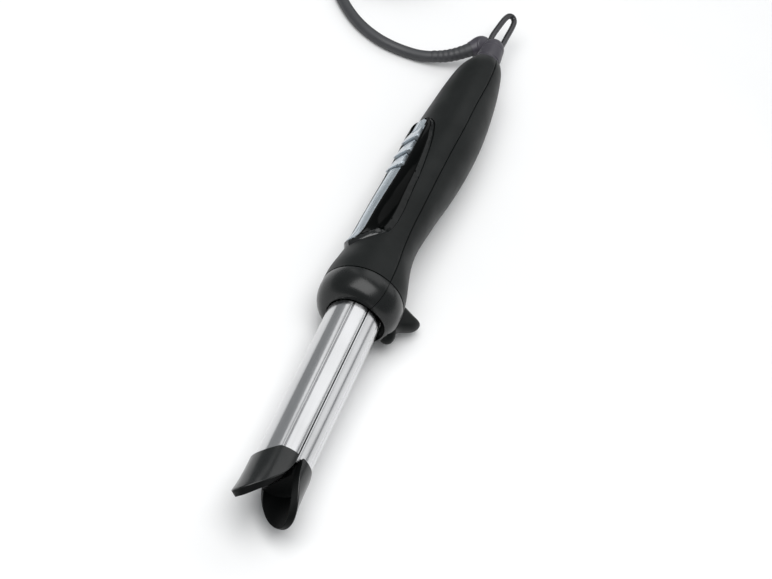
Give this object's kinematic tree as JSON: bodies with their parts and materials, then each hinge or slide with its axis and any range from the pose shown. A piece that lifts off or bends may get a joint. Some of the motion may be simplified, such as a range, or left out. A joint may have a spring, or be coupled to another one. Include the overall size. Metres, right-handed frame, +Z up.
{
  "type": "curling iron",
  "caption": "Curling iron with sprung half-barrel jaws, scooped black tips, a contoured handle with a control panel, a thumb trigger, a swivelling cord and a mains plug.",
  "frame": {"origin": "on the table, under the middle of the iron itself; the cord is not counted", "axes": "+Y from the tips to the cord along the barrel and the handle; +Z up; the iron lies rolled 61 degrees on its side, so that its buttons face -X and up and its trigger faces +X and down"},
  "size_m": [0.1561, 0.4611, 0.0414],
  "materials": {
    "barrel_metal": "satin polished",
    "tip_plastic": "satin, heat-resistant",
    "collar_plastic": "satin",
    "handle_soft_touch": "soft-touch",
    "panel_gloss": "high gloss",
    "panel_silver": "metallic silver",
    "trigger_plastic": "matt",
    "inner_black": "moulded",
    "board_laminate": "solder mask",
    "capacitor_case": "moulded",
    "led_lens": "clear tinted",
    "wire_live": "insulation",
    "wire_neutral": "insulation",
    "heater_ceramic": "fired ceramic",
    "spring_steel": "plain",
    "frame_plastic": "glass-filled",
    "swivel_plastic": "satin",
    "cord_rubber": "matt",
    "tie_plastic": "satin",
    "plug_plastic": "moulded",
    "pin_brass": "nickel-plated"
  },
  "bodies": {
    "body": {"barrel_upper": "barrel_metal", "thermal_fuse": "barrel_metal", "tip_upper": "tip_plastic", "collar_upper": "collar_plastic", "collar_lower": "collar_plastic", "handle_upper": "handle_soft_touch", "handle_lower": "handle_soft_touch", "panel_bezel": "panel_gloss", "panel_strip_front": "panel_silver", "panel_strip_rear": "panel_silver", "switch_1": "inner_black", "switch_2": "inner_black", "switch_3": "inner_black", "triac": "inner_black", "circuit_board": "board_laminate", "mains_capacitor": "capacitor_case", "indicator_led": "led_lens", "mains_lead_live": "wire_live", "upper_heater_lead_live": "wire_live", "mains_lead_neutral": "wire_neutral", "upper_heater_lead_neutral": "wire_neutral", "upper_heater": "heater_ceramic", "temperature_sensor": "heater_ceramic", "upper_heater_spring": "spring_steel", "jaw_spring": "spring_steel", "hinge_axle": "spring_steel", "axle_clip_left": "spring_steel", "axle_clip_right": "spring_steel", "swivel_retainer": "spring_steel", "handle_screw_front": "spring_steel", "handle_screw_rear": "spring_steel", "jaw_frame": "frame_plastic", "cord_run": "cord_rubber", "cord_coil": "cord_rubber", "cord_plug_lead": "cord_rubber", "cord_tie": "tie_plastic", "plug_body": "plug_plastic", "plug_pin_left": "pin_brass", "plug_pin_right": "pin_brass"},
    "lower_jaw": {"barrel_lower": "barrel_metal", "tip_lower": "tip_plastic", "lower_heater": "heater_ceramic", "lower_heater_spring": "spring_steel", "jaw_lever": "frame_plastic", "trigger": "trigger_plastic"},
    "button_power": {"button_power": "panel_silver"},
    "button_heat_up": {"button_heat_up": "panel_silver"},
    "button_heat_down": {"button_heat_down": "panel_silver"},
    "cord_swivel": {"swivel_stub": "swivel_plastic", "hanging_loop": "swivel_plastic", "cord_knuckle": "swivel_plastic", "cord_boot": "cord_rubber"}
  },
  "joints": [
    {"name": "jaw_hinge", "type": "hinge", "parent": "body", "child": "lower_jaw", "pos_m": [-0.00302, -0.05022, 0.01947], "axis": [0.4848, 0, 0.8746], "range_deg": [0, 11], "stiffness_Nm_per_rad": 0.35, "springref_deg": -14.32, "deforming": ["jaw_spring"]},
    {"name": "button_power_press", "type": "slide", "parent": "body", "child": "button_power", "axis": [0.8746, 0, -0.4848], "range_m": [0, 0.0008], "stiffness_N_per_m": 900, "springref_m": -0.0008},
    {"name": "button_heat_up_press", "type": "slide", "parent": "body", "child": "button_heat_up", "axis": [0.8746, 0, -0.4848], "range_m": [0, 0.0008], "stiffness_N_per_m": 900, "springref_m": -0.0008},
    {"name": "button_heat_down_press", "type": "slide", "parent": "body", "child": "button_heat_down", "axis": [0.8746, 0, -0.4848], "range_m": [0, 0.0008], "stiffness_N_per_m": 900, "springref_m": -0.0008},
    {"name": "cord_swivel", "type": "hinge", "parent": "body", "child": "cord_swivel", "pos_m": [-0.00084, 0.13078, 0.01826], "axis": [0, 1, 0], "range_deg": [0, 175], "deforming": ["cord_run"]}
  ]
}
